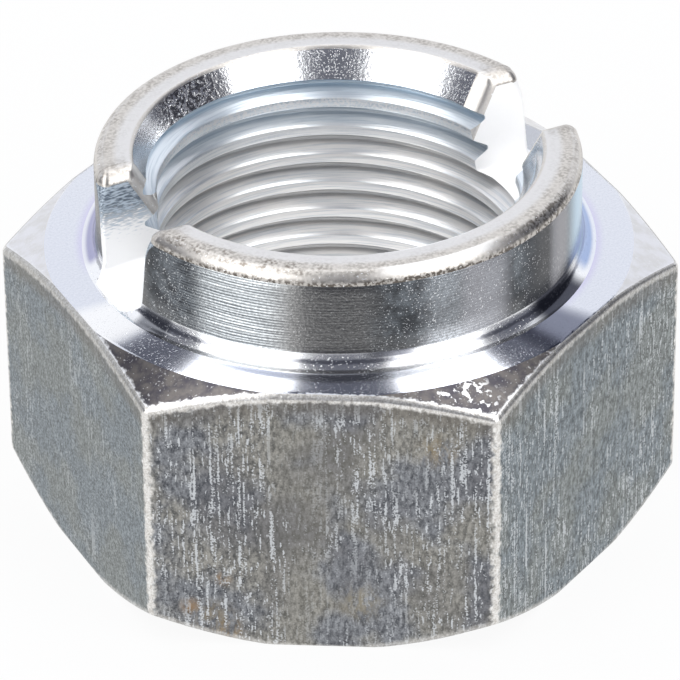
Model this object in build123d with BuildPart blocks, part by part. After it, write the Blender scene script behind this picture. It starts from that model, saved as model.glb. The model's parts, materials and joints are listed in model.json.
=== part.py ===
import os
from math import ceil, cos, radians, tan

from build123d import *

# A hexagon nut, turned and milled from one piece. The thread axis is Z, the bearing face lies at
# z = 0, and the slot across the collar runs along X, square to two opposite flats.

# Hexagon
across_flats = 36.0
hex_height = 18.0
hex_edge_radius = 0.45
top_face_radius = 17.9
top_chamfer_angle = 26.0
bearing_face_radius = 18.1
bearing_chamfer_angle = 38.0

# Collar
collar_radius = 14.8
collar_height = 6.32
collar_edge_bevel = 0.6
collar_root_bevel = 0.6

# Thread, 24 mm by 2 mm, right hand. The middle of its groove crosses the positive X axis at this
# height, give or take whole turns.
thread_radius = 12.0
thread_pitch = 2.0
bore_radius = 11.05
flank_angle = 30.0
groove_height_at_x = 1.67

# Countersunk mouth at each end of the bore. Its angle is measured from the thread axis.
mouth_radius = 12.5
mouth_angle = 30.0

# Slot, milled down to the top face of the hexagon, a little wider at the rim than at its floor
slot_floor_width = 4.9
slot_draft = 8.0
slot_corner_radius = 0.8

# Worked out from the sizes above
hex_corner_radius = across_flats / 2 / cos(radians(30))
nut_height = hex_height + collar_height
top_drop = (hex_corner_radius - top_face_radius) * tan(radians(top_chamfer_angle))
bearing_rise = (hex_corner_radius - bearing_face_radius) * tan(radians(bearing_chamfer_angle))
mouth_depth = (mouth_radius - bore_radius) / tan(radians(mouth_angle))
slot_rim_width = slot_floor_width + 2 * collar_height * tan(radians(slot_draft))
root_width = thread_pitch / 8
cutter_overlap = 0.1


def groove_width(radius):
    """Width of the thread groove along the axis, at a distance from the axis."""
    return root_width + 2 * (thread_radius - radius) * tan(radians(flank_angle))


# One turn of the helical groove that the tap leaves. The first turn starts below the bearing face.
groove_start = groove_height_at_x - 2 * thread_pitch
groove_turns = ceil(nut_height / thread_pitch) + 3
groove_inner_radius = bore_radius - cutter_overlap
groove_inner_reach = groove_width(groove_inner_radius) / 2
with BuildPart() as groove_turn:
    with BuildLine(Plane.XY.offset(groove_start)) as groove_path:
        Helix(thread_pitch, thread_pitch, bore_radius)
    with BuildSketch(Plane.XZ):
        with BuildLine():
            Polyline(
                (groove_inner_radius, groove_start - groove_inner_reach),
                (thread_radius, groove_start - root_width / 2),
                (thread_radius, groove_start + root_width / 2),
                (groove_inner_radius, groove_start + groove_inner_reach),
                close=True,
            )
        make_face()
    sweep(path=groove_path.wire(), is_frenet=True)

with BuildPart() as nut:
    # Hexagon bar with its upright edges slightly rounded
    with BuildSketch() as hexagon:
        RegularPolygon(across_flats / 2, 6, major_radius=False, rotation=30)
        fillet(hexagon.vertices(), hex_edge_radius)
    extrude(amount=hex_height)

    # Chamfers turned on the six corners, above and below
    with BuildSketch(Plane.XZ):
        with BuildLine():
            Polyline(
                (0, 0),
                (bearing_face_radius, 0),
                (hex_corner_radius, bearing_rise),
                (hex_corner_radius, hex_height - top_drop),
                (top_face_radius, hex_height),
                (0, hex_height),
                close=True,
            )
        make_face()
    revolve(axis=Axis.Z, mode=Mode.INTERSECT)

    # Collar, bevelled at its rim and where it stands on the hexagon
    with BuildSketch(Plane.XZ):
        with BuildLine():
            Polyline(
                (0, hex_height),
                (collar_radius + collar_root_bevel, hex_height),
                (collar_radius, hex_height + collar_root_bevel),
                (collar_radius, nut_height - collar_edge_bevel),
                (collar_radius - collar_edge_bevel, nut_height),
                (0, nut_height),
                close=True,
            )
        make_face()
    revolve(axis=Axis.Z)

    # Slot
    with BuildSketch(Plane.YZ) as slot:
        with BuildLine():
            Polyline(
                (-slot_floor_width / 2, hex_height),
                (slot_floor_width / 2, hex_height),
                (slot_rim_width / 2, nut_height),
                (-slot_rim_width / 2, nut_height),
                close=True,
            )
        make_face()
        fillet(slot.vertices().group_by(Axis.Y)[0], slot_corner_radius)
    extrude(amount=hex_corner_radius, both=True, mode=Mode.SUBTRACT)

    # Bore with its two countersunk mouths
    with BuildSketch(Plane.XZ):
        with BuildLine():
            Polyline(
                (0, 0),
                (mouth_radius, 0),
                (bore_radius, mouth_depth),
                (bore_radius, nut_height - mouth_depth),
                (mouth_radius, nut_height),
                (0, nut_height),
                close=True,
            )
        make_face()
    revolve(axis=Axis.Z, mode=Mode.SUBTRACT)

    # Thread
    with Locations([(0, 0, turn * thread_pitch) for turn in range(groove_turns)]):
        add(groove_turn.part, mode=Mode.SUBTRACT)

nut.part.label = "nut"
os.makedirs("parts", exist_ok=True)
export_step(nut.part, "parts/nut.step")
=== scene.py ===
"""A zinc-plated hexagon nut with a slotted collar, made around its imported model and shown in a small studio.

All lengths are metres in the part's own frame: the nut stands on z = 0 with its thread's axis along z.
"""

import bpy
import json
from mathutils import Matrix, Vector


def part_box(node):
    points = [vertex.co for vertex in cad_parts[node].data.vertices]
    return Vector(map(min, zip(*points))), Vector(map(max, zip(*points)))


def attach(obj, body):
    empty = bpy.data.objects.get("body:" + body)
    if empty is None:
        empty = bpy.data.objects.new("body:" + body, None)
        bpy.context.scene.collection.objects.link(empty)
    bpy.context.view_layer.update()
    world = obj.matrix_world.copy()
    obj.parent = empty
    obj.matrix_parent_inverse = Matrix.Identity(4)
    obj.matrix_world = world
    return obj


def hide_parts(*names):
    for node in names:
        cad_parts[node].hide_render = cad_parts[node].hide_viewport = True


bl_info = {
    "name": "Slotted collar nut",
    "version": (1, 0, 0),
    "blender": (4, 5, 0),
    "location": "View3D > Sidebar > Nut",
    "description": "Makes a plated nut with a slotted collar, and the studio that shows it",
    "category": "Object",
}

import json
import math

import bmesh
import bpy
import numpy as np
from mathutils import Matrix, Vector

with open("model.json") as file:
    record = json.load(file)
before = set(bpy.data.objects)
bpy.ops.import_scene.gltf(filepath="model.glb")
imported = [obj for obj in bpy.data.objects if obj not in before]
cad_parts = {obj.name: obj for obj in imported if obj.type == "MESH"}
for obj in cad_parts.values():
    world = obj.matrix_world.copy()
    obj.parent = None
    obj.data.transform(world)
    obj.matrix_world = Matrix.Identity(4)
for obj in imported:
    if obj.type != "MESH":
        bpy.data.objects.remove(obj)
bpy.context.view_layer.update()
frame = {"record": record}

NODE = "nut"
BODY = "root"
MM = 0.001
SAME_POINT = 0.0001 * MM
QUARTER = math.pi / 2
SIXTH = math.tau / 6
NODE_LOW, NODE_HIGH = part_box(NODE)
THREAD_MOUNT = next(mount for mount in frame["record"]["mounts"] if mount["kind"] == "threaded_hole")
CREST_RADIUS = THREAD_MOUNT["dims"]["r_mm"] * MM

# The corner chamfers: their distance from the axis where they start, and their slope in degrees
TOP_FACE_RADIUS = 17.9 * MM
TOP_CHAMFER = 26
BEARING_RADIUS = 18.1 * MM
BEARING_CHAMFER = 38

# How far the blank's hub and the cutters reach past what they meet
SPARE = 2 * MM
# Turns of the tap below the bearing face and above the rim
SPARE_TURNS = 2
# Columns of a cutter in one turn
COLUMNS = 192
# Rows of the thread from a groove's middle to the next crest's, as shares of the pitch
THREAD_ROWS = (0, 0.035, 0.06, 0.085, 0.19, 0.3, 0.325, 0.35, 0.42, 0.5)
# Direction in which the countersink's rounding ends: 90 degrees would be level with the face
MOUTH_ARC_END = math.radians(97)
# Steps from the slot's edge into its wall, as shares of the edge's rounding, closest at the edge
EDGE_STEPS = (0.02, 0.07, 0.15, 0.27, 0.42, 0.6, 0.8, 1.0)

# An edge that bends by more than this shows as an edge
SHARP = math.radians(35)

# The surfaces of the nut, in the order of its material slots
SURFACES = ("flats", "shoulders", "ring", "root", "wall", "rim", "bearing", "slot", "mouth", "thread")
FLATS, SHOULDERS, RING, ROOT, WALL, RIM, BEARING, SLOT, MOUTH, THREAD = range(len(SURFACES))

# What the camera looks at, how near and how far it sees, and the picture width that its lens is given for
AIM = Vector((-1.06, -2.15, 12.0)) * MM
SEEN_FROM, SEEN_TO = 0.01, 50.0
PICTURE_WIDTH = 36.0


def length(name, description, default):
    """A size in metres, as the sidebar shows it."""
    return bpy.props.FloatProperty(name=name, description=description, default=default, unit="LENGTH",
                                   precision=5)


def turn(name, description, degrees):
    """An angle, given in degrees and kept in radians."""
    return bpy.props.FloatProperty(name=name, description=description, default=math.radians(degrees),
                                   subtype="ANGLE")


def amount(name, description, default):
    """A plain number."""
    return bpy.props.FloatProperty(name=name, description=description, default=default)


def tint(name, description, red, green, blue):
    """A colour given as a screen shows it, from 0 to 255, and kept as light."""
    return bpy.props.FloatVectorProperty(name=name, description=description, subtype="COLOR", size=3,
                                         min=0.0, max=1.0, default=screen_colour(red, green, blue))


def screen_colour(red, green, blue):
    """The linear colour that a screen shows as these three numbers from 0 to 255."""
    shares = [value / 255 for value in (red, green, blue)]
    return tuple(share / 12.92 if share <= 0.04045 else ((share + 0.055) / 1.055) ** 2.4 for share in shares)


class NutSizes(bpy.types.PropertyGroup):
    """Sizes of the nut. Its width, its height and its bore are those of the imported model."""

    across_flats: length("Across flats", "Width from flat to flat", NODE_HIGH[0] - NODE_LOW[0])
    total_height: length("Total height", "From the bearing face to the rim", NODE_HIGH[2] - NODE_LOW[2])
    hex_height: length("Hexagon height", "From the bearing face to the ring round the collar", 18.0 * MM)
    corner_radius: length("Corner rounding", "Radius of the hexagon's upright edges", 0.45 * MM)
    top_face_radius: length("Top face radius", "Where the top corner chamfer starts", TOP_FACE_RADIUS)
    top_chamfer: turn("Top chamfer", "Slope of the chamfer on the top corners", TOP_CHAMFER)
    top_rounding: length("Top edge rounding", "Radius of the edges round the top face", 0.45 * MM)
    bearing_radius: length("Bearing face radius", "Where the bottom corner chamfer starts", BEARING_RADIUS)
    bearing_chamfer: turn("Bottom chamfer", "Slope of the chamfer on the bottom corners", BEARING_CHAMFER)
    bearing_rounding: length("Bottom edge rounding", "Radius of the edges round the bearing face", 0.3 * MM)
    collar_radius: length("Collar radius", "Outside radius of the turned collar", 14.8 * MM)
    root_radius: length("Collar root radius", "Hollow rounding where the collar meets the ring", 0.9 * MM)
    rim_radius: length("Rim rounding", "Radius of the collar's outer top edge", 0.8 * MM)
    slot_width: length("Slot width", "Width of the slot across its floor", 4.9 * MM)
    slot_draft: turn("Slot draft", "How far each slot wall leans outwards", 8)
    slot_corner: length("Slot corner radius", "Rounding between the slot's floor and its walls", 0.8 * MM)
    slot_edge: length("Slot edge rounding", "Radius where the slot cuts the collar's side", 0.34 * MM)
    slot_top_edge: length("Slot top rounding", "Radius where the slot cuts the rim and the mouth", 0.74 * MM)
    slot_top_spread: amount("Slot top spread", "Width of that rounding, as a share of its depth", 1.5)
    mouth_radius: length("Mouth radius", "Radius of the countersink at either face", 12.5 * MM)
    mouth_slope: turn("Mouth slope", "Slope of the countersink away from the axis", 30)
    mouth_rounding: length("Mouth edge rounding", "Radius of the rim's inner edge", 0.35 * MM)
    crest_radius: length("Bore radius", "Radius across the thread's crests", CREST_RADIUS)
    groove_radius: length("Groove radius", "Radius at the bottom of the thread's groove", 12.0 * MM)
    pitch: length("Thread pitch", "Rise of the thread in one turn", 2.0 * MM)
    flank: turn("Thread flank", "Slope of the thread's flanks", 30)
    thread_phase: length("Thread start", "Height of a groove's middle on the +X side", -0.33 * MM)


class StudioSizes(bpy.types.PropertyGroup):
    """Where the camera stands and how the studio is lit."""

    camera_turn: turn("Camera turn", "Direction in which the camera looks, from +Y towards +X", 26.2516)
    camera_dip: turn("Camera dip", "How far the camera looks down", 32.3818)
    camera_roll: turn("Camera roll", "Turn of the picture about the line of sight", -0.5802)
    camera_distance: length("Camera distance", "From the camera to the point that it looks at", 336.14 * MM)
    lens: amount("Lens", "Focal length in millimetres for a picture 36 mm wide", 290.44)
    hood_height: length("Hood height", "Height of the dark hood's lid over the nut", 1.0)
    hood_edge: turn("Hood edge", "Height over the horizon at which the lid ends", 50)
    hood_left: turn("Hood left end", "Where the hood's skirt ends, from the camera towards the left", -100)
    hood_right: turn("Hood right end", "Where the hood's skirt ends, from the camera towards the right", 125)
    hood_glow: amount("Hood glow", "Brightness of the dark hood, where 1 is white", 0.14)
    left_lamp_from: turn("Left lamp, left side", "Direction on the collar that mirrors its left side", -33)
    left_lamp_to: turn("Left lamp, right side", "Direction on the collar that mirrors its right side", -10)
    left_lamp_foot: turn("Left lamp foot", "Slope on the collar's rim that mirrors its lower end", 14)
    right_lamp_from: turn("Right lamp, left side", "Direction on the collar that mirrors its left side", 12)
    right_lamp_to: turn("Right lamp, right side", "Direction on the collar that mirrors its right side", 34)
    right_lamp_foot: turn("Right lamp foot", "Slope on the collar's rim that mirrors its lower end", 20)
    lamp_top: turn("Lamp top", "Slope on the collar's rim that mirrors the upper end of both lamps", 79)
    lamp_glow: amount("Lamp glow", "Brightness of a lamp as it is seen, where 1 is white", 2.6)
    room_glow: amount("Room glow", "Brightness of the pale room round the nut", 1.0)
    floor_tone: tint("Floor", "Colour of the floor", 232, 233, 235)
    room_tone: tint("Room", "Colour of the pale room", 248, 250, 255)
    hood_tone: tint("Hood", "Tint of the dark hood", 225, 230, 255)


def ring_of(reach, radius, centre_z, first, last, steps):
    """Rows of an arc in the upright plane through the axis, for every column at once.

    reach is the distance of the arc's centre from the axis and centre_z its height. A row stands at
    reach + radius * cos(a) and centre_z + radius * sin(a), with a going evenly from first to last.
    """
    angle = np.linspace(first, last, steps + 1)[:, None]
    return reach + radius * np.cos(angle), centre_z + radius * np.sin(angle)


def between(below, above, steps):
    """Rows that divide the way from below's last row to above's first row evenly, without those two rows."""
    share = np.linspace(0, 1, steps + 1)[1:-1, None]
    return [start[-1] + (end[0] - start[-1]) * share for start, end in zip(below, above)]


def column_angles(flat, edge, flat_steps=17, arc_steps=5):
    """Angles of the hexagon's columns: even steps along each flat and even turns round each corner's arc.

    A half flat reaches (flat - edge) * tan(30) sideways, and the arc's centre stands at that point, edge
    behind the flat. The half is mirrored about the flat's middle and then repeated six times.
    """
    side = (flat - edge) * math.tan(SIXTH / 2)
    along = np.linspace(0, side, flat_steps + 1)
    bend = np.linspace(0, SIXTH / 2, arc_steps + 1)[1:]
    half = np.concatenate([
        np.arctan2(along, flat),
        np.arctan2(side + edge * np.sin(bend), flat - edge + edge * np.cos(bend)),
    ])
    sector = np.concatenate([-half[:0:-1], half[:-1]])
    return (sector + SIXTH * np.arange(6)[:, None]).ravel()


def hexagon_reach(angle, flat, edge):
    """Distance from the axis to a hexagon with rounded corners, in each direction.

    Within 30 degrees of a flat's normal it is flat / cos(angle). Where the corner's arc takes over it is
    c * cos(b) + sqrt(edge^2 - (c * sin(b))^2), with b the angle from the corner and c the distance of the
    arc's centre.
    """
    folded = np.abs((angle + SIXTH / 2) % SIXTH - SIXTH / 2)
    arc_start = math.atan((flat - edge) * math.tan(SIXTH / 2) / flat)
    centre = (flat - edge) / math.cos(SIXTH / 2)
    off_corner = SIXTH / 2 - folded
    inside = np.maximum(edge ** 2 - (centre * np.sin(off_corner)) ** 2, 0)
    return np.where(folded < arc_start, flat / np.cos(folded), centre * np.cos(off_corner) + np.sqrt(inside))


def rounded_edge(reach, face_radius, slope, rounding):
    """Centres of the two arcs that round a corner chamfer, as distances from the axis and from the face.

    The outline of face, cone and upright side is moved inwards by rounding; its two corners are the centres.
    Where the cone passes outside the side, both centres fall together and the two arcs make one.
    """
    outer = reach - rounding
    outer_depth = (outer - face_radius) * math.tan(slope) + rounding / math.cos(slope)
    inner = np.full_like(reach, face_radius - rounding * math.tan(slope / 2))
    plain = outer <= inner
    inner = np.where(plain, outer, inner)
    outer_depth = np.where(plain, rounding, outer_depth)
    return outer, outer_depth, inner


def blank_rows(reach, s):
    """Rows of the nut's outside from the bearing face to the collar's rim, with the surface above each row.

    Each part of the outline is an arc or a straight stretch in the upright plane through the axis: bearing
    face, bottom chamfer, flat, top chamfer, ring, hollow root, collar wall, rounded rim edge and rim. An arc
    has both its ends as rows, so the faces above its last row are those of the straight stretch after it.
    """
    ones = np.ones_like(reach)
    low_slope, low_edge = s.bearing_chamfer, s.bearing_rounding
    top_slope, top_edge = s.top_chamfer, s.top_rounding
    low_outer, low_depth, low_inner = rounded_edge(reach, s.bearing_radius, low_slope, low_edge)
    top_outer, top_depth, top_inner = rounded_edge(reach, s.top_face_radius, top_slope, top_edge)
    low_face = ring_of(low_inner, low_edge, low_edge * ones, -QUARTER, low_slope - QUARTER, steps=3)
    low_side = ring_of(low_outer, low_edge, low_depth, low_slope - QUARTER, 0, steps=4)
    top_side = ring_of(top_outer, top_edge, s.hex_height - top_depth, 0, QUARTER - top_slope, steps=5)
    top_face = ring_of(top_inner, top_edge, (s.hex_height - top_edge) * ones,
                       QUARTER - top_slope, QUARTER, steps=4)
    root = ring_of((s.collar_radius + s.root_radius) * ones, s.root_radius, s.hex_height + s.root_radius,
                   -QUARTER, -2 * QUARTER, steps=8)
    rim_edge = ring_of((s.collar_radius - s.rim_radius) * ones, s.rim_radius,
                       s.total_height - s.rim_radius, 0, QUARTER, steps=8)
    hub = (s.crest_radius - SPARE) * ones[None]
    low_hub = (hub, 0 * ones[None])
    top_hub = (hub, s.total_height * ones[None])
    arcs = (low_face, low_side, top_side, top_face, root, rim_edge)
    stretches = [
        (BEARING, low_hub),
        (BEARING, between(low_hub, low_face, steps=6)),
        (BEARING, low_face),
        (SHOULDERS, between(low_face, low_side, steps=3)),
        (FLATS, low_side),
        (FLATS, between(low_side, top_side, steps=36)),
        (FLATS, top_side),
        (SHOULDERS, between(top_side, top_face, steps=4)),
        (RING, top_face),
        (RING, between(top_face, root, steps=6)),
        (ROOT, root),
        (WALL, between(root, rim_edge, steps=8)),
        (RIM, rim_edge),
        (RIM, between(rim_edge, top_hub, steps=4)),
        (RIM, top_hub),
    ]
    counts = [len(height) for _, (_, height) in stretches]
    radius, height = (
        np.concatenate([np.broadcast_to(rows[part], (count, len(reach)))
                        for count, (_, rows) in zip(counts, stretches)])
        for part in (0, 1))
    surface = np.repeat([number for number, _ in stretches], counts)
    is_arc = [any(rows is arc for arc in arcs) for _, rows in stretches]
    arc_ends = np.cumsum(counts)[is_arc] - 1
    surface[arc_ends] = surface[arc_ends + 1]
    return radius, height, surface[:-1]


def tube_faces(rows, columns, shift=0):
    """Quads of a grid that closes round its columns, and each quad's row.

    The last column meets the first one shift rows higher.
    """
    row, column = np.meshgrid(np.arange(rows - 1), np.arange(columns), indexing="ij")
    following = (column + 1) % columns
    lifted = row + np.where(column == columns - 1, shift, 0)
    quads = np.stack([row * columns + column, lifted * columns + following,
                      (lifted + 1) * columns + following, (row + 1) * columns + column], axis=-1)
    return quads[lifted + 1 < rows], row[lifted + 1 < rows]


def grid_faces(grid):
    """Quads of an open grid of vertex numbers."""
    corners = [grid[:-1, :-1], grid[1:, :-1], grid[1:, 1:], grid[:-1, 1:]]
    return np.stack(corners, axis=-1).reshape(-1, 4)


def strip_faces(first, second):
    """Quads between two lines of vertex numbers."""
    return grid_faces(np.stack([first, second], axis=1))


def fan(loop, apex):
    """Triangles from an apex to each edge of a closed loop of vertices."""
    loop = np.asarray(loop)
    return np.stack([np.full(len(loop), apex), loop, np.roll(loop, -1)], axis=-1)


def merge_points(mesh, face_outwards=False):
    """Joins the points of a mesh that lie in one place, which takes its empty faces away."""
    shape = bmesh.new()
    shape.from_mesh(mesh)
    bmesh.ops.remove_doubles(shape, verts=shape.verts, dist=SAME_POINT)
    if face_outwards:
        bmesh.ops.recalc_face_normals(shape, faces=shape.faces)
    shape.to_mesh(mesh)
    shape.free()


def solid(name, points, faces, surfaces, finishes):
    """A closed mesh object from an array of points, lists of faces and the surface that each list is of."""
    polygons = [tuple(face) for group in faces for face in np.asarray(group).tolist()]
    mesh = bpy.data.meshes.new(name)
    mesh.from_pydata(points, [], polygons)
    for finish in finishes:
        mesh.materials.append(finish)
    numbers = [np.broadcast_to(number, len(group)) for group, number in zip(faces, surfaces)]
    mesh.polygons.foreach_set("material_index", np.concatenate(numbers).astype(np.int32))
    merge_points(mesh, face_outwards=True)
    piece = bpy.data.objects.new(name, mesh)
    bpy.context.scene.collection.objects.link(piece)
    return piece


def spun(name, radius, height, angle, ends, surfaces, finishes, shift=0):
    """A solid whose rows are turned round the axis, and closed by a fan to a point on it at each end height.

    surfaces are those of the stretches between the rows, of the first fan and of the last one. With a shift
    each row meets the one shift rows higher after its turn, and the fans also close the step there.
    """
    parts = np.broadcast_arrays(radius * np.cos(angle), radius * np.sin(angle), height)
    points = np.concatenate([np.stack(parts, axis=-1).reshape(-1, 3), [(0, 0, end) for end in ends]])
    rows, columns = len(radius), len(angle)
    sides, row = tube_faces(rows, columns, shift)
    turn_round = np.arange(columns)
    first_step = np.arange(shift, 0, -1) * columns
    last_step = np.arange(rows - 1, rows - 1 - shift, -1) * columns - 1
    first_loop = np.concatenate([turn_round, first_step])
    last_loop = np.concatenate([(rows - 1) * columns + turn_round, last_step])
    faces = [sides, fan(first_loop, len(points) - 2), fan(last_loop, len(points) - 1)]
    return solid(name, points, faces, [surfaces[0][row], *surfaces[1:]], finishes)


def blank(s, finishes):
    """The nut before its slot and bore."""
    flat = s.across_flats / 2
    angle = column_angles(flat, s.corner_radius)
    radius, height, surface = blank_rows(hexagon_reach(angle, flat, s.corner_radius), s)
    return spun("blank", radius, height, angle, (0, s.total_height), (surface, BEARING, RIM), finishes)


def mouth(name, face_height, inwards, face, s, finishes):
    """The countersink's cutter: a cone, and an arc that eases its wide edge and takes the face's surface.

    Depth is measured from the face. The arc's centre stands mouth_rounding deep and mouth_rounding from the
    cone, and the profile leaves the arc a few degrees before it would lie along the face.
    """
    ease, slope = s.mouth_rounding, s.mouth_slope
    centre = s.mouth_radius + ease * (1 - math.sin(slope)) / math.cos(slope)
    bend = np.linspace(math.pi - slope, MOUTH_ARC_END, 6)
    arc = np.stack([centre + ease * np.cos(bend), ease - ease * np.sin(bend)], axis=-1)
    clear = 0.4 * MM
    narrow = s.crest_radius - clear
    narrow_depth = (s.mouth_radius - narrow) / math.tan(slope)
    lip = arc[-1] + np.array([math.sin(MOUTH_ARC_END), math.cos(MOUTH_ARC_END)]) * MM
    rows = np.concatenate([[(narrow, narrow_depth)], arc, [lip, (lip[0], -SPARE)]])
    radius = rows[:, :1]
    height = face_height + inwards * rows[:, 1:]
    ends = (face_height + inwards * narrow_depth, face_height - inwards * SPARE)
    angle = np.arange(COLUMNS) * math.tau / COLUMNS
    surface = np.array([MOUTH] + [face] * (len(arc) + 1))
    return spun(name, radius, height, angle, ends, (surface, surface[0], surface[-1]), finishes)


def thread_radius(rise, s):
    """Radius of the thread at a height above its groove's middle.

    The flank is a straight line that falls from the groove's radius. A soft minimum and a soft maximum,
    (a + b -+ sqrt((a - b)^2 + k^2)) / 2, ease it into the groove's flat bottom and into the crest.
    """
    ease = 0.05 * MM
    half_bottom = s.pitch / 16
    line = s.groove_radius - (np.abs(rise) - half_bottom) / math.tan(s.flank)
    lower = (line + s.groove_radius - np.sqrt((line - s.groove_radius) ** 2 + ease ** 2)) / 2
    return (lower + s.crest_radius + np.sqrt((lower - s.crest_radius) ** 2 + ease ** 2)) / 2


def tap(s, finishes):
    """The thread's cutter, one helix wound from rows that rise with the angle.

    A row's height is pitch * (angle / turn + whole turns + share of the pitch). After a full turn each row
    meets the one that lies a pitch higher, so the grid closes on itself with that shift.
    """
    half = np.array(THREAD_ROWS)
    shares = np.concatenate([half, 1 - half[-2:0:-1]])
    turns = math.ceil(s.total_height / s.pitch) + 2 * SPARE_TURNS
    level = np.append((np.arange(turns)[:, None] + shares).ravel(), turns)
    rise = np.append(np.tile(np.where(shares > 0.5, shares - 1, shares), turns), 0)
    radius = thread_radius(rise * s.pitch, s)[:, None]
    angle = np.arange(COLUMNS) * math.tau / COLUMNS
    height = s.thread_phase + s.pitch * (level[:, None] - SPARE_TURNS + angle / math.tau)
    ends = (height.min() - s.pitch, height.max() + s.pitch)
    surface = np.full(len(level) - 1, THREAD)
    return spun("tap", radius, height, angle, ends, (surface, THREAD, THREAD), finishes, shift=len(shares))


def slot_wall(height, s, floor):
    """Half the slot's width at a height: the wall leans by the draft, and an arc eases it into the floor."""
    corner, draft = s.slot_corner, s.slot_draft
    line = s.slot_width / 2 + (height - s.hex_height) * math.tan(draft)
    centre = s.slot_width / 2 + (floor + corner - s.hex_height) * math.tan(draft) - corner / math.cos(draft)
    sink = np.clip(floor + corner - height, -corner, corner)
    arc = centre + np.sqrt(np.maximum(corner ** 2 - sink ** 2, 0))
    return np.where(height < floor + corner * (1 - math.sin(draft)), arc, line)


def slot_skin(s, floor):
    """The collar's outline as the slot's wall meets it: each row's point, inward direction and rounding.

    The rows run up the root and the collar's side, round the rim's arc, over the rim and down the mouth's
    cone. The heights of the lowest rows, on the arc into the floor, come last. A point at depth d behind the
    outline is point + d * inward. At the rim's inner corner inward is the mitre of both sides, (tan(a), -1)
    with a half of the corner's turn. The rounding grows from slot_edge to slot_top_edge just below the rim.
    """
    growing = 1.5 * MM
    least_steepness = 0.5
    bend = np.linspace(-QUARTER, -s.slot_draft, 8)
    low = floor + s.slot_corner * (1 + np.sin(bend))
    wall = np.linspace(low[-1], s.total_height - s.rim_radius, 12)[1:]
    upright = np.concatenate([low, wall])
    sunk = np.clip(s.hex_height + s.root_radius - upright, 0, s.root_radius)
    hollow = np.sqrt(s.root_radius ** 2 - sunk ** 2)
    steep = np.maximum(hollow / s.root_radius, least_steepness)
    arc = np.linspace(0, QUARTER, 9)[1:]
    rim_centre = s.collar_radius - s.rim_radius
    over = np.linspace(rim_centre, s.mouth_radius, 5)[1:-1]
    down = np.linspace(s.mouth_radius, s.crest_radius - s.slot_top_edge, 8)
    down_height = s.total_height - (s.mouth_radius - down) / math.tan(s.mouth_slope)
    mitre = math.tan((QUARTER - s.mouth_slope) / 2)
    point = np.concatenate([
        np.column_stack([s.collar_radius + s.root_radius - hollow, upright]),
        np.column_stack([rim_centre + s.rim_radius * np.cos(arc),
                         s.total_height - s.rim_radius + s.rim_radius * np.sin(arc)]),
        np.column_stack([over, np.full_like(over, s.total_height)]),
        np.column_stack([down, down_height]),
    ])
    inward = np.concatenate([
        np.column_stack([-1 / steep, np.zeros_like(steep)]),
        np.column_stack([-np.cos(arc), -np.sin(arc)]),
        np.tile((0.0, -1.0), (len(over), 1)),
        [(mitre, -1.0)],
        np.tile((math.cos(s.mouth_slope), -math.sin(s.mouth_slope)), (len(down) - 1, 1)),
    ])
    below_rim = s.total_height - s.rim_radius - upright
    share = np.clip(1 - below_rim / growing, 0, 1) ** 2
    grown = s.slot_edge + (s.slot_top_edge - s.slot_edge) * share
    rounding = np.concatenate([grown, np.full(len(point) - len(grown), s.slot_top_edge)])
    return point, inward, rounding[:, None], low


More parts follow.
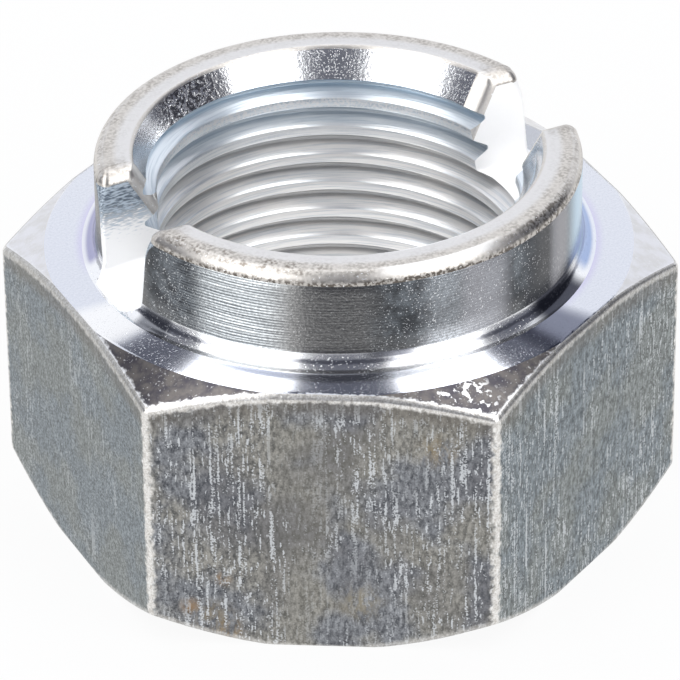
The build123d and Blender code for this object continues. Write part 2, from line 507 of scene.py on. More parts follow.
def slot_cutter(s, finishes):
    """The cutter for one notch of the slot, repeated on the other side of the axis.

    Its wall is a grid over the collar's outline and the depth behind that outline. Within the rounding r of
    the outline the wall flares by r - sqrt(r^2 - (r - depth)^2), a quarter circle that rounds the notch's
    edge. Towards the rim the flare is widened by up to slot_top_spread, and near the floor it fades out.
    Deeper in, the wall is flat. A last row, level with the one before it, ends the cutter inside the bore.
    """
    over_ring = 0.012 * MM
    outside = -1.6 * MM
    widest = 0.98
    fading = 0.8 * MM
    floor = s.hex_height + over_ring
    inner_end = s.crest_radius - SPARE
    point, inward, rounding, low = slot_skin(s, floor)
    with_last_twice = np.append(np.arange(len(point)), len(point) - 1)
    point, inward, rounding = point[with_last_twice], inward[with_last_twice], rounding[with_last_twice]
    depths = np.concatenate([np.full_like(rounding, outside), rounding * np.array(EDGE_STEPS)], axis=-1)
    radius = point[:, :1] + inward[:, :1] * depths
    height = point[:, 1:] + inward[:, 1:] * depths
    near = np.clip(rounding - depths, 0, widest * rounding)
    grown = (rounding - s.slot_edge) / (s.slot_top_edge - s.slot_edge)
    flare = (rounding - np.sqrt(rounding ** 2 - near ** 2)) * (1 + (s.slot_top_spread - 1) * grown)
    fade = np.clip((height - floor) / fading, 0, 1)
    y = slot_wall(height, s, floor) + flare * fade * fade * (3 - 2 * fade)
    x = np.sqrt(radius ** 2 - y ** 2)
    x[-1] = inner_end
    rows, columns = x.shape
    low_rows = len(low)
    side = np.stack([x, y, height], axis=-1).reshape(-1, 3)
    inner = np.stack([np.full(low_rows, inner_end), y[:low_rows, -1], low], axis=-1)
    one_side = np.concatenate([side, inner])
    points = np.concatenate([one_side, one_side * (1, -1, 1)])
    points = np.concatenate([points, points * (-1, 1, 1)])
    half = len(one_side)
    grid = np.arange(rows * columns).reshape(rows, columns)
    inner_edge = rows * columns + np.arange(low_rows)
    last = grid[:, -1]
    outer = grid[:, 0]
    floor_edge = np.append(grid[0], inner_edge[0])
    bore_edge = np.concatenate([inner_edge, grid[-1, ::-1]])
    band = grid_faces(grid)
    strip = strip_faces(last[:low_rows], inner_edge)
    cheek = np.concatenate([[inner_edge[-1]], last[low_rows - 1:]])[None]
    across = strip_faces(floor_edge, floor_edge + half)
    back = strip_faces(outer, outer + half)
    cap = np.concatenate([bore_edge, bore_edge[::-1] + half])[None]
    notch = [band, band + half, strip, strip + half, cheek, cheek + half, across, back, cap]
    faces = notch + [group + 2 * half for group in notch]
    rim_side = s.total_height - 1.3 * s.rim_radius
    by_rim = (point[:-1, 1] > rim_side) | (point[:-1, 0] < s.mouth_radius)
    eased = np.repeat(np.where(by_rim, RIM, SLOT), columns - 1)
    surfaces = [eased, eased] + [SLOT] * (len(notch) - 2)
    return solid("slot", points, faces, surfaces * 2, finishes)


def carve(piece, cutters):
    """Cuts the solids out of the piece in turn, and gives back its mesh without empty faces."""
    for cutter in cutters:
        cut = piece.modifiers.new(cutter.name, "BOOLEAN")
        cut.operation = "DIFFERENCE"
        cut.solver = "MANIFOLD"
        cut.material_mode = "INDEX"
        cut.object = cutter
    view = bpy.context.evaluated_depsgraph_get()
    mesh = bpy.data.meshes.new_from_object(piece.evaluated_get(view))
    for thing in [piece, *cutters]:
        old = thing.data
        bpy.data.objects.remove(thing)
        bpy.data.meshes.remove(old)
    merge_points(mesh)
    return mesh


class Value:
    """A socket that carries one number. Arithmetic on it adds Math nodes to its finish."""

    def __init__(self, finish, socket):
        self.finish = finish
        self.socket = socket

    def __add__(self, other):
        return self.finish.math("ADD", self, other)

    def __radd__(self, other):
        return self.finish.math("ADD", other, self)

    def __sub__(self, other):
        return self.finish.math("SUBTRACT", self, other)

    def __rsub__(self, other):
        return self.finish.math("SUBTRACT", other, self)

    def __mul__(self, other):
        return self.finish.math("MULTIPLY", self, other)

    def __rmul__(self, other):
        return self.finish.math("MULTIPLY", other, self)

    def __truediv__(self, other):
        return self.finish.math("DIVIDE", self, other)

    def __rtruediv__(self, other):
        return self.finish.math("DIVIDE", other, self)


class Finish:
    """A material or a world under construction, with one method for each kind of step."""

    def __init__(self, owner):
        owner.use_nodes = True
        self.tree = owner.node_tree
        self.tree.nodes.clear()
        self.owner = owner

    def node(self, kind, settings=None, sockets=None):
        """Adds a node, makes its settings, then gives its sockets their values or links."""
        made = self.tree.nodes.new(kind)
        for name, value in (settings or {}).items():
            setattr(made, name, value)
        for name, value in (sockets or {}).items():
            value = value.socket if isinstance(value, Value) else value
            if isinstance(value, bpy.types.NodeSocket):
                self.tree.links.new(value, made.inputs[name])
            else:
                made.inputs[name].default_value = value
        return made

    def close(self, shader, output="ShaderNodeOutputMaterial"):
        """Leads a shader to the output, and gives the finished material or world back."""
        self.node(output, {}, {"Surface": shader.outputs[0]})
        return self.owner

    def math(self, operation, first, second=0.0):
        """One Math node on two numbers or values."""
        made = self.node("ShaderNodeMath", {"operation": operation}, {0: first, 1: second})
        return Value(self, made.outputs[0])

    def most(self, first, *others):
        """The largest of some values."""
        for other in others:
            first = self.math("MAXIMUM", first, other)
        return first

    def blend(self, share, first, second):
        """A colour between two, each a link or three numbers from 0 to 255 as a screen shows them."""
        first, second = ((*screen_colour(*side), 1.0) if isinstance(side, tuple) else side
                         for side in (first, second))
        made = self.node("ShaderNodeMix", {"data_type": "RGBA"}, {0: share, 6: first, 7: second})
        return made.outputs[2]

    def step(self, value, start, end):
        """0 below start, 1 above end, with a smooth rise between them."""
        made = self.node("ShaderNodeMapRange", {"interpolation_type": "SMOOTHSTEP"},
                         {"Value": value, "From Min": start, "From Max": end})
        return Value(self, made.outputs[0])

    def vector(self, operation, *parts):
        """One Vector Math node on vectors. Where the operation gives a number, so does this."""
        made = self.node("ShaderNodeVectorMath", {"operation": operation}, dict(enumerate(parts)))
        if operation in ("DOT_PRODUCT", "DISTANCE"):
            return Value(self, made.outputs["Value"])
        return made.outputs["Vector"]

    def combine(self, x, y, z):
        """A vector from three numbers."""
        return self.node("ShaderNodeCombineXYZ", {}, {0: x, 1: y, 2: z}).outputs[0]

    def parts_of(self, vector):
        """The three numbers of a vector."""
        return [Value(self, part) for part in self.node("ShaderNodeSeparateXYZ", {}, {0: vector}).outputs]

    def noise(self, place, scale, detail=2.0, rough=0.5):
        """Noise from 0 to 1 at a place, with scale features in each unit."""
        made = self.node("ShaderNodeTexNoise", {"noise_dimensions": "3D"},
                         {"Vector": place, "Scale": scale, "Detail": detail, "Roughness": rough})
        return Value(self, made.outputs["Fac"])


# Directions round the axis, in degrees from +X: the camera's side, and the front flat from there
CAMERA_SIDE = 243.75
FRONT_FLAT = -3.75


class Metal(Finish):
    """A plated metal surface, with the place on the nut in the terms that its tool marks follow.

    Its tone starts as one blend, and every lay puts another colour over it.
    """

    def __init__(self, name):
        super().__init__(bpy.data.materials.new(name))
        self.place = self.node("ShaderNodeTexCoord").outputs["Object"]
        self.x, self.y, self.z = self.parts_of(self.place)
        self.radius = self.math("SQRT", self.x * self.x + self.y * self.y)
        self.outwards = self.combine(self.x / self.radius, self.y / self.radius, 0.0)
        self.normal = self.node("ShaderNodeNewGeometry").outputs["Normal"]
        self.tone = None

    def lay(self, share, colour):
        """Puts a colour over the tone, by a share from 0 to 1."""
        self.tone = self.blend(share, self.tone, colour)

    def above(self, measure, start, end):
        """0 where a measure is below start mm, and 1 where it is above end mm."""
        return self.step(measure, start * MM, end * MM)

    def below(self, measure, start, end):
        """1 where a measure is below start mm, and 0 where it is above end mm."""
        return 1.0 - self.above(measure, start, end)

    def even(self, scale, detail=2.0, rough=0.5):
        """Noise that is the same in all directions, with scale features in each metre."""
        return self.noise(self.place, scale, detail, rough)

    def drawn(self, share):
        """The place with its height scaled, so that noise on it is drawn out upright."""
        return self.vector("MULTIPLY", self.place, (1.0, 1.0, share))

    def around(self, measure, across, along, detail=1.0, rough=0.5):
        """Noise drawn out round the axis: across mm wide in a measure, and along mm long on the collar."""
        collar = 15.0
        steps = self.vector("MULTIPLY", self.outwards, (collar / along,) * 3)
        place = self.vector("ADD", steps, self.combine(0.0, 0.0, measure / (across * MM)))
        return self.noise(place, 1.0, detail, rough)

    def ragged(self, width, scale=2600.0):
        """A length that wavers evenly over width mm. Added to a measure, it frays the border of a zone."""
        return width * MM * (self.even(scale) - 0.5)

    def specks(self, size, level):
        """Small grains about size mm wide that lie in drifts: 1 on a grain. A lower level gives more."""
        drift = 0.2 * self.even(800.0, 1.0) - 0.1
        return self.step(self.even(1 / (size * MM), 0.0) + drift, level, level + 0.07)

    def leaned(self, outwards=0.0, up=0.0):
        """The surface's normal, leaned by degrees outwards from the axis and by degrees up."""
        out, rise = (math.tan(math.radians(degrees)) for degrees in (outwards, up))
        lifted = self.vector("ADD", self.normal, (0.0, 0.0, rise))
        return self.vector("MULTIPLY_ADD", self.outwards, (out, out, out), lifted)

    def facing(self, degrees, reach, fade=6.0):
        """1 in a direction round the axis, and 0 from reach degrees away from it, after a fade inside that.

        The direction is measured from the camera's side, towards the right of the picture. On the turned
        surfaces such zones are painted reflections and painted shade: the bright, dark and tinted places of
        the photo, painted as colour that stays on the metal.
        """
        bearing = math.radians(CAMERA_SIDE + degrees)
        whole = max(reach - fade, 0.0)
        along = self.vector("DOT_PRODUCT", self.outwards, (math.cos(bearing), math.sin(bearing), 0.0))
        return self.step(along, math.cos(math.radians(reach)), math.cos(math.radians(whole)))

    def near(self, point, reach):
        """1 at a point given in mm, falling to 0 at reach mm from it."""
        target = tuple(part * MM for part in point)
        return self.below(self.vector("DISTANCE", self.place, target), 0.0, reach)

    def hexagon(self):
        """How far the place stands out towards the nearest flat, and how far from its middle it is."""
        apart = self.math("PINGPONG", self.math("ARCTAN2", self.y, self.x), SIXTH / 2)
        return self.radius * self.math("COSINE", apart), self.radius * self.math("SINE", apart)

    def worn_edge(self):
        """1 on the edge above the flats, with a frayed border."""
        stand, _ = self.hexagon()
        return self.above(stand + self.ragged(0.5), 17.6, 17.78)

    def done(self, roughness, height, depth, under=None, metallic=1.0):
        """Closes the material with its tone, its roughness and a bump whose height 1 is depth mm."""
        sockets = {"Height": height, "Distance": depth * MM, "Strength": 1.0}
        if under is not None:
            sockets["Normal"] = under
        normal = self.node("ShaderNodeBump", {}, sockets).outputs[0]
        return self.close(self.node("ShaderNodeBsdfPrincipled", {}, {
            "Base Color": self.tone, "Roughness": roughness, "Metallic": metallic, "Normal": normal}))


# Colours as a screen shows them
ZINC = (250, 251, 253)
ZINC_DULL = (232, 234, 238)
WHITE = (255, 255, 255)

# Stains on the flats: a point in mm, how far it reaches in mm, and its colour on a screen
STAINS = (
    ((-14.7, -12.3, 1.8), 2.2, (150, 138, 116)),
    ((-7.0, -16.7, 3.4), 2.0, (156, 148, 130)),
    ((-15.9, -11.6, 2.8), 0.9, (158, 128, 92)),
    ((-14.2, -12.6, 4.8), 0.8, (162, 132, 94)),
    ((-13.8, -12.8, 1.0), 1.3, (160, 138, 104)),
    ((-3.0, -19.1, 14.4), 1.8, (158, 144, 118)),
)
# The corner with bright flecks on its chamfer: a point in mm and how far it reaches in mm
FLECKED = ((-1.6, -19.2, 17.4), 3.8)


def flats_finish():
    """The six drawn flats: dull grey with upright strokes, grain, a few stains, and bright edges that are worn
    plating with a painted highlight.
    """
    metal = Metal("flats")
    front = metal.facing(FRONT_FLAT, 30.0, 1.0)
    right = metal.facing(FRONT_FLAT + 60.0, 30.0, 1.0)
    scratched = (metal.facing(FRONT_FLAT - 21.0, 17.0, 12.0)
                 + 0.45 * metal.facing(FRONT_FLAT + 20.0, 12.0, 8.0))
    drawn = metal.drawn(0.5)
    cloud = metal.step(metal.even(220.0, 3.0), 0.42, 0.58)
    dusk = metal.step(metal.even(150.0), 0.42, 0.62)
    coarse = metal.step(metal.noise(drawn, 3900.0, 2.0, 0.65), 0.3, 0.7)
    fine = metal.step(metal.even(8200.0, 1.0), 0.3, 0.7)
    low = metal.blend(cloud, (84, 86, 91), (107, 106, 101))
    low = metal.blend(scratched * 0.5, low, (70, 73, 80))
    high = metal.blend(cloud, (158, 161, 166), (172, 170, 164))
    high = metal.blend(dusk * 0.7, high, (122, 122, 127))
    side_low = metal.blend(cloud, (84, 91, 95), (92, 96, 95))
    side_high = metal.blend(cloud, (156, 165, 171), (160, 166, 166))
    side_grain = coarse * (0.35 + 0.35 * right) + fine * (0.65 - 0.35 * right)
    side = metal.blend(side_grain, side_low, side_high)
    metal.tone = metal.blend(front, side, metal.blend(0.7 * coarse + 0.3 * fine, low, high))
    for point, reach, colour in STAINS:
        spread = metal.near(point, reach) * metal.step(metal.noise(drawn, 2000.0, 3.0, 0.7), 0.36, 0.62)
        metal.lay(spread * 0.75, colour)
    beads = 0.16 * fine - 0.08
    broken = metal.step(metal.noise(metal.drawn(0.25), 2300.0, 1.0) + beads, 0.47, 0.56)
    lines = metal.noise(metal.drawn(0.02), 4800.0, 0.0) + beads
    strokes = metal.noise(metal.drawn(0.18), 6600.0, 1.0) + beads
    worked = metal.even(170.0, 1.0) + 0.25 * scratched + 0.1 * right
    marks = metal.most(metal.step(lines, 0.58, 0.7) * broken, metal.step(strokes, 0.62, 0.72))
    marks = marks * (0.2 + 0.8 * metal.step(worked, 0.45, 0.62))
    metal.lay(marks * (0.35 + 0.4 * front + 0.3 * right), (222, 226, 230))
    rise = metal.z + math.tan(math.radians(TOP_CHAMFER)) * (metal.radius - TOP_FACE_RADIUS)
    metal.lay(metal.above(rise, 16.2, 17.3) * 0.5, (118, 113, 106))
    fall = metal.z - math.tan(math.radians(BEARING_CHAMFER)) * (metal.radius - BEARING_RADIUS)
    _, sideways = metal.hexagon()
    # The bright edges are worn plating with a painted highlight; the top edge is painted brighter on the front
    # flat.
    corner = metal.above(sideways + metal.ragged(0.8), 9.9, 10.26)
    top = metal.above(rise + metal.ragged(0.6), 17.46, 17.76) * (0.55 + 0.45 * front)
    bottom = metal.below(fall + metal.ragged(0.4), 0.1, 0.4) * 0.5
    worn = metal.most(corner, top, bottom)
    metal.lay(worn, metal.blend(fine * 0.6 + coarse * 0.4, (200, 196, 190), (252, 251, 249)))
    return metal.done(0.42 - 0.12 * worn, coarse * 0.5 + marks * 0.8, 0.005)


def shoulders_finish():
    """The corner chamfers: bright at the sides and painted dark in front as a painted reflection, with
    scattered bright grains.
    """
    metal = Metal("shoulders")
    cloud = metal.step(metal.even(900.0, 3.0, 0.6), 0.35, 0.65)
    front = metal.facing(0.0, 62.0, 16.0)
    dark = metal.blend(cloud, (82, 80, 87), (116, 112, 110))
    pale = metal.blend(cloud, (222, 221, 221), (233, 233, 237))
    grains = metal.most(metal.specks(0.12, 0.72), metal.specks(0.26, 0.75))
    flecks = metal.step(metal.even(2500.0), 0.54, 0.6) * metal.step(metal.near(*FLECKED), 0.1, 0.6)
    worn = metal.worn_edge()
    # Painted reflection: the chamfers are painted dark in front, by direction from the camera's side.
    metal.tone = metal.blend(front, pale, dark)
    metal.lay(grains * 0.35, ZINC)
    metal.lay(flecks * 0.85, ZINC)
    # The worn edge, with a painted highlight that is stronger in front.
    metal.lay(worn * (0.4 + 0.6 * front), ZINC)
    height = grains * 0.6 + flecks * 1.5 + metal.even(5200.0) * 0.5
    return metal.done(0.3, height, 0.009)


def ring_finish():
    """The turned ring: bright with fine tool marks, painted reflections in a few white, dark and tinted zones,
    and a worn outer edge.
    """
    metal = Metal("ring")
    marks = metal.around(metal.radius, 0.16, 30.0)
    grain = metal.even(6500.0, 1.0)
    grains = metal.specks(0.12, 0.71)
    worn = metal.worn_edge()
    side = metal.facing(-96.0, 24.0, 18.0) + metal.facing(84.0, 34.0, 26.0)
    inner = metal.below(metal.radius, 15.6, 16.3)
    toe = metal.below(metal.radius, 16.2, 16.4)
    metal.tone = metal.blend(grain, (238, 240, 247), (217, 221, 231))
    # Painted reflections by direction from the camera's side: a lavender tint at the sides, a white highlight,
    # a dark zone, and a duller zone near the inner edge.
    metal.lay(side * inner * 0.5, (204, 194, 238))
    metal.lay(metal.facing(-55.0, 9.0, 5.0), WHITE)
    metal.lay(metal.facing(50.0, 10.0) * 0.9, (118, 122, 140))
    metal.lay(toe * metal.facing(-20.0, 14.0, 8.0), (182, 187, 203))
    height = marks * 0.5 + grain * 0.1 + grains + worn * grain * 3.0
    return metal.done(0.11 + 0.3 * worn, height, 0.0024, under=metal.leaned(outwards=20))


def root_finish():
    """The collar's hollow root: bright and grainy, with a dull line round it painted as a dark reflection, and
    dark and tinted zones of painted reflection.
    """
    metal = Metal("root")
    grains = metal.specks(0.12, 0.72)
    ragged = metal.ragged(0.16, 3200.0)
    top = metal.above(metal.z, 18.45, 18.62)
    line = metal.above(metal.z + ragged, 18.27, 18.36) * metal.below(metal.z + ragged, 18.44, 18.56)
    right = metal.blend(top, (170, 188, 224), (176, 198, 226))
    left = metal.blend(top, (174, 174, 204), (136, 144, 154))
    close = 1.0 - 0.8 * metal.above(metal.radius, 15.3, 15.6)
    # Painted reflections: the dull line round the hollow, and dark, blue and purple zones set by direction
    # from the camera's side.
    metal.tone = metal.blend(line * 0.85, ZINC, (166, 168, 176))
    metal.lay(top * metal.facing(12.0, 8.0), (128, 130, 138))
    metal.lay(metal.facing(96.0, 24.0) * close, right)
    metal.lay(metal.facing(-96.0, 19.0, 4.0) * close, left)
    metal.lay(metal.facing(60.0, 12.0), (76, 78, 88))
    metal.lay(metal.facing(-47.0, 6.0, 3.0), (142, 144, 150))
    level = metal.node("ShaderNodeMix", {"data_type": "VECTOR"},
                       {0: top, 4: metal.normal, 5: metal.leaned(up=14.0)})
    return metal.done(0.15 + 0.1 * top, grains, 0.006, under=level.outputs[1])


def wall_finish():
    """The collar's turned side: level tool marks and small bright grains over dark, lit and tinted zones of
    painted reflection.
    """
    metal = Metal("wall")
    marks = metal.around(metal.z, 0.15, 7.0)
    drift = metal.around(metal.z, 1.2, 4.0)
    spacing = 0.19 * MM
    lines = metal.math("SINE", metal.z * (math.tau / spacing) + 7.0 * drift) * 0.5 + 0.5
    grain = metal.even(6000.0, 1.0)
    grains = metal.specks(0.1, 0.69)
    shade = metal.step(metal.even(420.0, 4.0, 0.7), 0.4, 0.62)
    foot = metal.below(metal.z, 19.0, 20.4)
    # Painted sheen: in this zone the tool marks are painted as bright lines, by direction from the camera's
    # side.
    cut = metal.facing(-28.0, 18.0, 12.0)
    # Painted dark reflections: mottled dark zones, by direction from the camera's side.
    rough = metal.most(metal.facing(30.0, 26.0, 10.0), metal.facing(-43.0, 10.0, 5.0))
    lit = metal.facing(30.0, 13.0, 8.0)
    sheen_streak = metal.facing(63.0, 6.0) + metal.facing(36.0, 9.0, 9.0)
    plain = metal.blend(0.5 * lines, (130, 130, 130), (152, 152, 152))
    lined = metal.blend(lines * 0.6 + 0.4 * metal.step(marks, 0.35, 0.65), (100, 106, 112), (214, 219, 222))
    patchy_dark_reflection = metal.blend(shade, (76, 79, 83), (126, 132, 138))
    metal.tone = metal.blend(cut, plain, lined)
    metal.lay(rough * (1.0 - 0.5 * foot), patchy_dark_reflection)
    # A painted lamp highlight, strongest near the foot; then a painted dark zone, painted sheen streaks and a
    # painted blue reflection tint at the right end.
    metal.lay(lit * (0.28 + 0.72 * foot) * (0.6 + 0.4 * lines), (238, 243, 250))
    metal.lay(metal.facing(54.0, 9.0, 5.0) * (0.6 + 0.4 * foot), (58, 60, 66))
    metal.lay(metal.step(grain, 0.4, 0.65) * 0.3, (74, 75, 76))
    metal.lay(sheen_streak * 0.6, (170, 170, 176))
    metal.lay(metal.facing(105.0, 40.0, 12.0), metal.blend(foot, (188, 211, 229), (172, 194, 234)))
    metal.lay(grains * (0.2 + 0.35 * rough), ZINC)
    height = marks * (0.2 + 0.5 * cut) + lines * 0.25 * cut + grain * 0.25 + grains * 0.25 * rough
    return metal.done(0.22, height, 0.026, under=metal.leaned(up=15.5))


def rim_finish():
    """The collar's rim: matt light grey on top, with soft brownish grains where its edges are rounded, and a
    painted highlight and painted dark reflections on those edges.
    """
    metal = Metal("rim")
    grain = metal.even(4600.0)
    level = metal.parts_of(metal.normal)[2]
    top = metal.step(level, 0.9, 0.99)
    outer = metal.above(metal.radius, 13.25, 13.8)
    inner = metal.below(metal.radius, 12.7, 13.0)
    edge = metal.most(outer * top, metal.step(level, 0.6, 0.8) * (1.0 - top))
    drift = metal.step(metal.even(1100.0), 0.35, 0.62)
    left = metal.facing(-26.0, 26.0, 12.0)
    brown = metal.step(grain, 0.34, 0.68) * (0.12 + 0.45 * edge + 0.35 * left * edge) * (0.4 + 0.6 * drift)
    # Painted highlight and painted dark reflections on the rounded edges, by their slope and by direction from
    # the camera's side.
    lit = metal.step(level, 0.5, 0.8)
    gleam = metal.facing(25.0, 18.0, 8.0) * lit * (1.0 - metal.step(level, 0.975, 0.995))
    dim = 0.15 * metal.facing(-2.0, 11.0, 8.0) + metal.facing(59.0, 14.0, 8.0)
    low = (1.0 - metal.step(level, 0.1, 0.62)) * (1.0 + 0.8 * metal.facing(18.0, 14.0, 8.0))
    low = metal.most(low, dim * (1.0 - top) * 0.8)
    low = low * (0.25 + 0.75 * metal.step(grain, 0.42, 0.58)) * (1.0 - 0.9 * inner)
    by_slot = metal.below(metal.math("ABSOLUTE", metal.y) + metal.ragged(0.5), 4.1, 5.2)
    metal.tone = metal.blend(top * (1.0 - edge), (221, 217, 212), (229, 228, 228))
    metal.lay(brown * (1.0 - 0.75 * inner), (132, 124, 116))
    metal.lay(gleam * 0.85, WHITE)
    metal.lay(low, (104, 98, 92))
    metal.lay(metal.specks(0.12, 0.74) * (1.0 - top), ZINC)
    metal.lay(by_slot * (0.25 + 0.25 * metal.step(grain, 0.4, 0.6)) * (1.0 - inner), (178, 173, 168))
    return metal.done(0.32 + 0.1 * top, grain * 0.6 + metal.specks(0.14, 0.7), 0.006)


def bearing_finish():
    """The bearing face, and the rounding where the bottom countersink starts: turned, dull and even."""
    metal = Metal("bearing")
    marks = metal.around(metal.radius, 0.15, 30.0, 2.0)
    metal.tone = metal.blend(marks, ZINC_DULL, ZINC)
    return metal.done(0.3, marks, 0.004)


def slot_finish():
    """The milled slot: frosted white, with hatched marks from the cutter high on the wall of one notch."""
    metal = Metal("slot")
    tilted = metal.node("ShaderNodeMapping", {}, {
        "Vector": metal.place, "Rotation": (0.0, math.radians(-35.0), 0.0), "Scale": (0.22, 1.0, 1.0)})
    hatch = metal.noise(tilted.outputs[0], 9500.0)
    high = metal.above(metal.z + 0.004 * (hatch - 0.5), 20.4, 22.0) * metal.above(metal.x * -1.0, 0.0, 1.0)
    dark = metal.blend(metal.step(hatch, 0.36, 0.64), (92, 104, 118), (184, 196, 208))
    metal.tone = metal.blend(high, WHITE, dark)
    return metal.done(0.4, hatch, 0.006, metallic=0.35)


def mouth_finish():
    """The countersinks: bright with a fine grain. The top one has a dark patch of painted reflection at its
    back left, speckled with painted glints.
    """
    metal = Metal("mouth")
    grain = metal.even(7500.0, 1.0)
    grains = metal.specks(0.1, 0.64)
    coarse = metal.even(3600.0, 1.0)
    dark = metal.facing(-129.0, 18.0, 14.0) * metal.above(metal.z, 8.0, 16.0)
    metal.tone = metal.blend(metal.step(grain, 0.4, 0.65) * 0.5, ZINC, ZINC_DULL)
    # Painted dark reflection at the back left of the top countersink, with its grains painted white as glints.
    metal.lay(dark * 0.85, (92, 90, 97))
    metal.lay(dark * metal.step(coarse + grain * 0.3, 0.61, 0.67), WHITE)
    height = grain * 0.8 + grains * (0.7 + 4.0 * dark) + coarse * (0.8 + 5.0 * dark)
    return metal.done(0.19, height, 0.0085)


def thread_finish():
    """The thread: bright satin with marks along its turns, painted shade in its grooves, and grainy crests
    higher up.
    """
    metal = Metal("thread")
    marks = metal.around(metal.radius, 0.09, 8.0, 2.0)
    streaks = metal.around(metal.z + 0.4 * metal.radius, 0.11, 6.0, 2.0, 0.6)
    grain = metal.even(6500.0, 1.0)
    crest = metal.below(metal.radius, 11.02, 11.14)
    groove_shade = metal.above(metal.radius, 11.6, 11.92)
    upper = metal.above(metal.z, 17.5, 22.0)
    metal.tone = metal.blend(upper, (255, 254, 253), (240, 248, 255))
    metal.lay(metal.step(streaks, 0.42, 0.66) * (0.35 + 0.1 * upper), (166, 182, 198))
    # Painted shade at the bottom of the groove, under each crest.
    metal.lay(groove_shade * 0.45, metal.blend(upper, (146, 143, 142), (150, 178, 200)))
    metal.lay(metal.step(grain, 0.38, 0.6) * crest * upper, ZINC)
    height = marks * 0.7 + streaks * 0.8 + grain * crest * (0.3 + 0.9 * upper)
    return metal.done(0.31, height, 0.01)


FINISH_MAKERS = (flats_finish, shoulders_finish, ring_finish, root_finish, wall_finish, rim_finish,
                 bearing_finish, slot_finish, mouth_finish, thread_finish)


class NUT_OT_piece(bpy.types.Operator):
    """Make the nut: turn its outside, cut the slot, mouths and thread, and give each surface its finish"""

    bl_idname = "nut.piece"
    bl_label = "Make nut"

    def execute(self, context):
        s = context.scene.nut_sizes
        finishes = [maker() for maker in FINISH_MAKERS]
        body = blank(s, finishes)
        cutters = [
            slot_cutter(s, finishes),
            mouth("top_mouth", s.total_height, -1, RIM, s, finishes),
            mouth("bottom_mouth", 0.0, 1, BEARING, s, finishes),
            tap(s, finishes),
        ]
        mesh = carve(body, cutters)
        if not mesh.polygons:
            raise RuntimeError("the cuts left no nut")
        mesh.name = "plated_nut"
        mesh.shade_smooth()
        mesh.set_sharp_from_angle(angle=SHARP)
        piece = bpy.data.objects.new("plated_nut", mesh)
        context.scene.collection.objects.link(piece)
        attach(piece, BODY)
        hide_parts(NODE)
        return {"FINISHED"}


class NUT_OT_studio(bpy.types.Operator):
    """Make the studio: a pale floor and room, a dark hood with two curved lamps, and the camera"""

    bl_idname = "nut.studio"
    bl_label = "Make studio"

    def execute(self, context):
        studio = context.scene.nut_studio
        make_room(studio)
        make_floor(studio)
        make_hood(studio)
        make_lamp("left_lamp", studio.left_lamp_from, studio.left_lamp_to, studio.left_lamp_foot, studio)
        make_lamp("right_lamp", studio.right_lamp_from, studio.right_lamp_to, studio.right_lamp_foot, studio)
        make_camera(studio)
        context.scene.view_settings.view_transform = "Standard"
        return {"FINISHED"}


def glowing(name, tone, glow):
    """A material that only gives light."""
    finish = Finish(bpy.data.materials.new(name))
    return finish.close(finish.node("ShaderNodeEmission", {}, {"Color": (*tone, 1.0), "Strength": glow}))


def sheet_of(name, points, finish):
    """An open grid of points, with rows and columns as its first two axes, as a stage object."""
    rows, columns = points.shape[:2]
    quads = grid_faces(np.arange(rows * columns).reshape(rows, columns))
    mesh = bpy.data.meshes.new(name)
    mesh.from_pydata(points.reshape(-1, 3), [], quads.tolist())
    mesh.materials.append(finish)
    thing = bpy.data.objects.new(name, mesh)
    bpy.context.scene.collection.objects.link(thing)
    return thing


def camera_frame(studio):
    """Three unit vectors: to the right of the picture, level and away from the camera, and up."""
    side = np.array([math.cos(studio.camera_turn), -math.sin(studio.camera_turn), 0.0])
    away = np.array([math.sin(studio.camera_turn), math.cos(studio.camera_turn), 0.0])
    return np.array([side, away, [0.0, 0.0, 1.0]])


def make_floor(studio):
    """The floor: a pale plane just under the nut, almost white where it is seen, with a trace of shadow."""
    half = 3.0
    drop = -0.01 * MM
    whiteness = 0.93
    finish = Finish(bpy.data.materials.new("floor"))
    path = finish.node("ShaderNodeLightPath").outputs
    camera, glossy, glass = (Value(finish, path[name]) for name in
                             ("Is Camera Ray", "Is Glossy Ray", "Is Transmission Ray"))
    seen = finish.math("MINIMUM", camera + glossy + glass, 1.0)
    matt = finish.node("ShaderNodeBsdfDiffuse", {}, {"Color": (*studio.floor_tone, 1.0)})
    white = finish.node("ShaderNodeEmission", {}, {"Color": (1.0, 1.0, 1.0, 1.0), "Strength": 1.0})
    both = finish.node("ShaderNodeMixShader", {},
                       {0: seen * whiteness, 1: matt.outputs[0], 2: white.outputs[0]})
    edge = np.array([-half, half])
    x, y = np.meshgrid(edge, edge)
    sheet_of("floor", np.stack([x, y, np.full_like(x, drop)], axis=-1), finish.close(both))


def make_room(studio):
    """The room: an even pale light from all round."""
    world = bpy.data.worlds.new("room")
    bpy.context.scene.world = world
    finish = Finish(world)
    finish.close(finish.node("ShaderNodeBackground", {},
                             {"Color": (*studio.room_tone, 1.0), "Strength": studio.room_glow}),
                 output="ShaderNodeOutputWorld")


def hood_reach(studio):
    """Distance from the axis to the hood's skirt."""
    return studio.hood_height / math.tan(studio.hood_edge)


def make_hood(studio):
    """A dark hood over the nut and round the camera, which only reflections see.

    Its lid is a level disc, and its skirt an upright part of a tube that hangs from the lid's edge to the
    floor. Both are drawn over the angle round the nut, measured from the camera towards the right.
    """
    dark = glowing("hood", studio.hood_tone, studio.hood_glow)
    reach = hood_reach(studio)
    top = studio.hood_height
    for name, first, last, radii, heights in (
            ("hood_lid", -math.pi, math.pi, (0.0, reach), (top, top)),
            ("hood_skirt", studio.hood_left, studio.hood_right, (reach, reach), (0.0, top))):
        angle = np.linspace(first, last, 73)
        radius = np.array(radii)[:, None]
        height = np.array(heights)[:, None]
        local = np.stack([radius * np.sin(angle), -radius * np.cos(angle), height + 0 * angle], axis=-1)
        part = sheet_of(name, local @ camera_frame(studio), dark)
        part.visible_camera = False


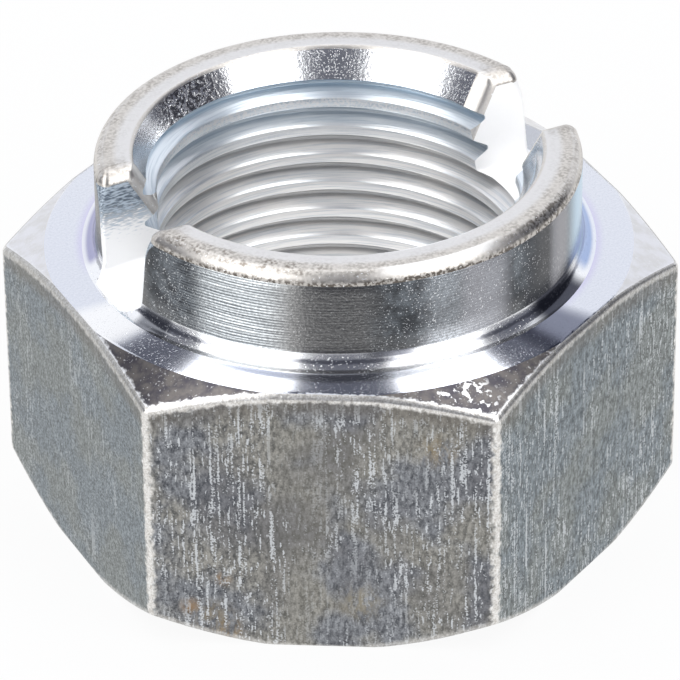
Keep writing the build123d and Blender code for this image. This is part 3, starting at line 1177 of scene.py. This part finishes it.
def make_lamp(name, left, right, foot, studio):
    """A curved lamp in the hood: all that a turned surface mirrors to the camera from a range of normals.

    The normal n turns from left to right round the nut's axis and rises from foot to lamp_top. With v the
    direction of the camera, the mirrored direction is 2 (n . v) n - v, and the lamp's point lies on it just
    inside the hood.
    """
    inside = 0.97
    least = 1e-6
    bearing, rise = np.meshgrid(np.linspace(left, right, 13), np.linspace(foot, studio.lamp_top, 33))
    flat = np.cos(rise)
    normal = np.stack([flat * np.sin(bearing), -flat * np.cos(bearing), np.sin(rise)], axis=-1)
    view = np.array([0.0, -math.cos(studio.camera_dip), math.sin(studio.camera_dip)])
    mirrored = 2 * (normal @ view)[..., None] * normal - view
    level = np.hypot(mirrored[..., 0], mirrored[..., 1])
    to_skirt = hood_reach(studio) / np.maximum(level, least)
    to_lid = studio.hood_height / np.maximum(mirrored[..., 2], least)
    points = mirrored * np.minimum(to_skirt, to_lid)[..., None] * inside
    lamp = sheet_of(name, points @ camera_frame(studio), glowing(name, (1.0, 1.0, 1.0), studio.lamp_glow))
    lamp.visible_camera = False


def make_camera(studio):
    """The camera: turned, dipped and rolled, and moved back from the point that it looks at."""
    camera = bpy.data.cameras.new("camera")
    camera.lens = studio.lens
    camera.sensor_width = PICTURE_WIDTH
    camera.clip_start = SEEN_FROM
    camera.clip_end = SEEN_TO
    stand = bpy.data.objects.new("camera", camera)
    bpy.context.scene.collection.objects.link(stand)
    pose = (Matrix.Translation(AIM) @ Matrix.Rotation(-studio.camera_turn, 4, "Z")
            @ Matrix.Rotation(QUARTER - studio.camera_dip, 4, "X")
            @ Matrix.Rotation(studio.camera_roll, 4, "Z"))
    stand.matrix_world = pose @ Matrix.Translation((0, 0, studio.camera_distance))
    bpy.context.scene.camera = stand


class NUT_PT_maker(bpy.types.Panel):
    """The nut's sizes and the buttons that make it"""

    bl_idname = "NUT_PT_maker"
    bl_label = "Slotted collar nut"
    bl_space_type = "VIEW_3D"
    bl_region_type = "UI"
    bl_category = "Nut"

    def draw(self, context):
        for owner in (context.scene.nut_sizes, context.scene.nut_studio):
            column = self.layout.column(align=True)
            for name in owner.__annotations__:
                column.prop(owner, name)
        for maker in MAKERS:
            self.layout.operator(maker.bl_idname)


MAKERS = (NUT_OT_piece, NUT_OT_studio)
CLASSES = (NutSizes, StudioSizes, *MAKERS, NUT_PT_maker)


def register():
    """Adds the classes and the scene's two groups of sizes."""
    for part in CLASSES:
        bpy.utils.register_class(part)
    bpy.types.Scene.nut_sizes = bpy.props.PointerProperty(type=NutSizes)
    bpy.types.Scene.nut_studio = bpy.props.PointerProperty(type=StudioSizes)


def unregister():
    """Takes away what register added."""
    del bpy.types.Scene.nut_studio
    del bpy.types.Scene.nut_sizes
    for part in reversed(CLASSES):
        bpy.utils.unregister_class(part)


def main():
    """Makes the nut and its studio."""
    register()
    bpy.ops.nut.piece()
    bpy.ops.nut.studio()


if __name__ == "__main__":
    main()
